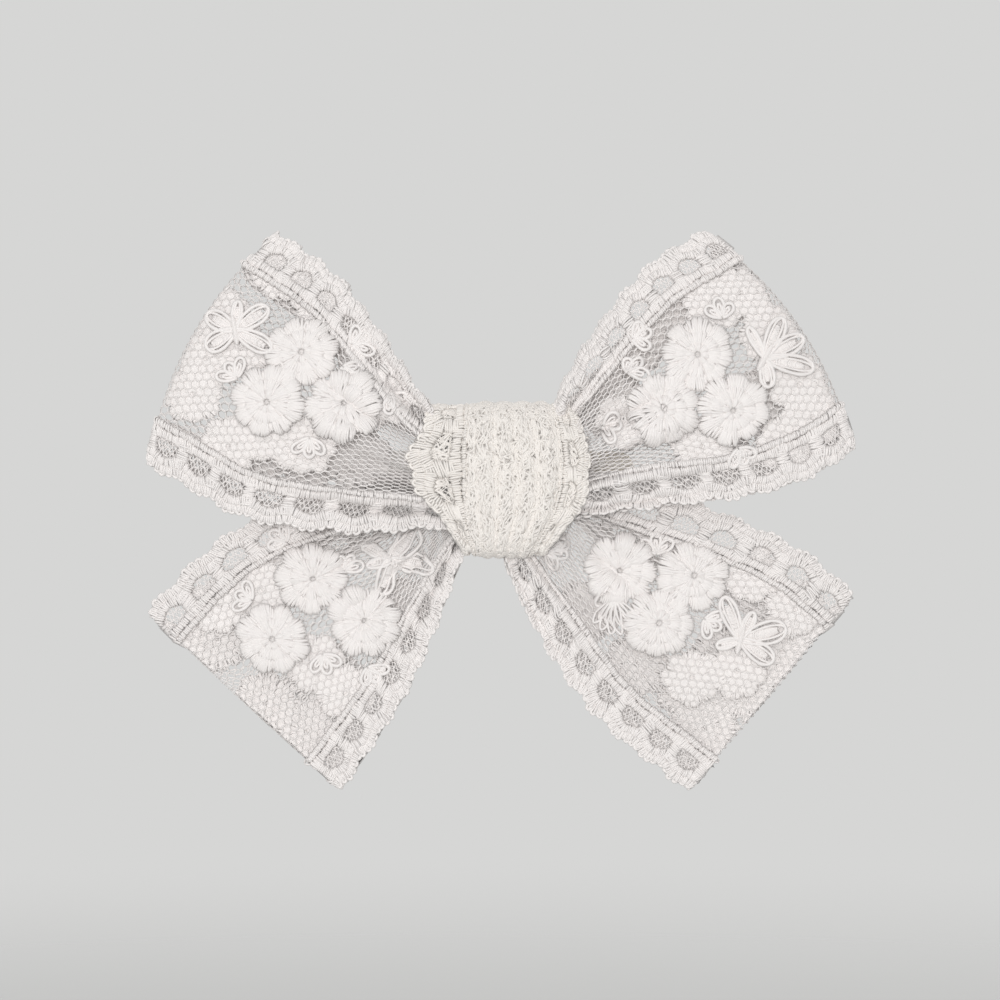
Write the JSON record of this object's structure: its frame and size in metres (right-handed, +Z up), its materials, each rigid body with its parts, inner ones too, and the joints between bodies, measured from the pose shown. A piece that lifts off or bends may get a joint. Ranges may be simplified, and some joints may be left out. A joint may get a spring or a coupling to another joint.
{
  "type": "hair bow",
  "caption": "Hair bow of white embroidered net-lace trim with upper loops, lower looped tails, a gathered knot and a sprung steel alligator clip behind it.",
  "frame": {"origin": "middle of the knot in X and Z, on the plane where the clip's two jaws meet and grip the hair", "axes": "+X along the bow towards its right lobe seen from the front, +Z up, +Y back towards the head; the front faces -Y"},
  "size_m": [0.1106, 0.0232, 0.0873],
  "materials": {
    "lace_trim": "white polyester net with satin-stitched borders, matt with a faint sheen",
    "knot_lace": "dense embroidered lace, slightly creamier, faint sheen",
    "embroidery": "raised satin stitch in glossy white thread",
    "sewing_thread": "white twisted thread",
    "felt": "white pressed felt",
    "grosgrain": "white ribbed grosgrain ribbon",
    "nickel_steel": "nickel-plated stamped steel",
    "spring_steel": "bright spring wire"
  },
  "bodies": {
    "bow": {"upper_loops": "lace_trim", "lower_tails": "lace_trim", "knot_wrap": "knot_lace", "gathering_thread": "sewing_thread", "felt_patch": "felt", "clip_ribbon": "grosgrain", "clip_upper_arm": "nickel_steel", "hinge_pin": "nickel_steel", "spring_coil": "spring_steel", "daisy_left_loop_1": "embroidery", "daisy_left_loop_2": "embroidery", "daisy_left_loop_3": "embroidery", "daisy_right_loop_1": "embroidery", "daisy_right_loop_2": "embroidery", "daisy_right_loop_3": "embroidery", "daisy_left_tail_1": "embroidery", "daisy_left_tail_2": "embroidery", "daisy_left_tail_3": "embroidery", "daisy_right_tail_1": "embroidery", "daisy_right_tail_2": "embroidery", "daisy_right_tail_3": "embroidery", "butterfly_left_loop": "embroidery", "butterfly_right_loop": "embroidery", "butterfly_left_tail": "embroidery", "butterfly_right_tail": "embroidery", "bell_flower_right_tail": "embroidery"},
    "lower_jaw": {"clip_lower_arm": "nickel_steel", "lower_liner": "grosgrain", "spring_lower_leg": "spring_steel"}
  },
  "joints": [
    {"name": "clip_hinge", "type": "hinge", "parent": "bow", "child": "lower_jaw", "pos_m": [0.008, 0.0015, 0], "axis": [0, 0, -1], "range_deg": [0, 26], "stiffness_Nm_per_rad": 0.15, "springref_deg": -51.57}
  ]
}
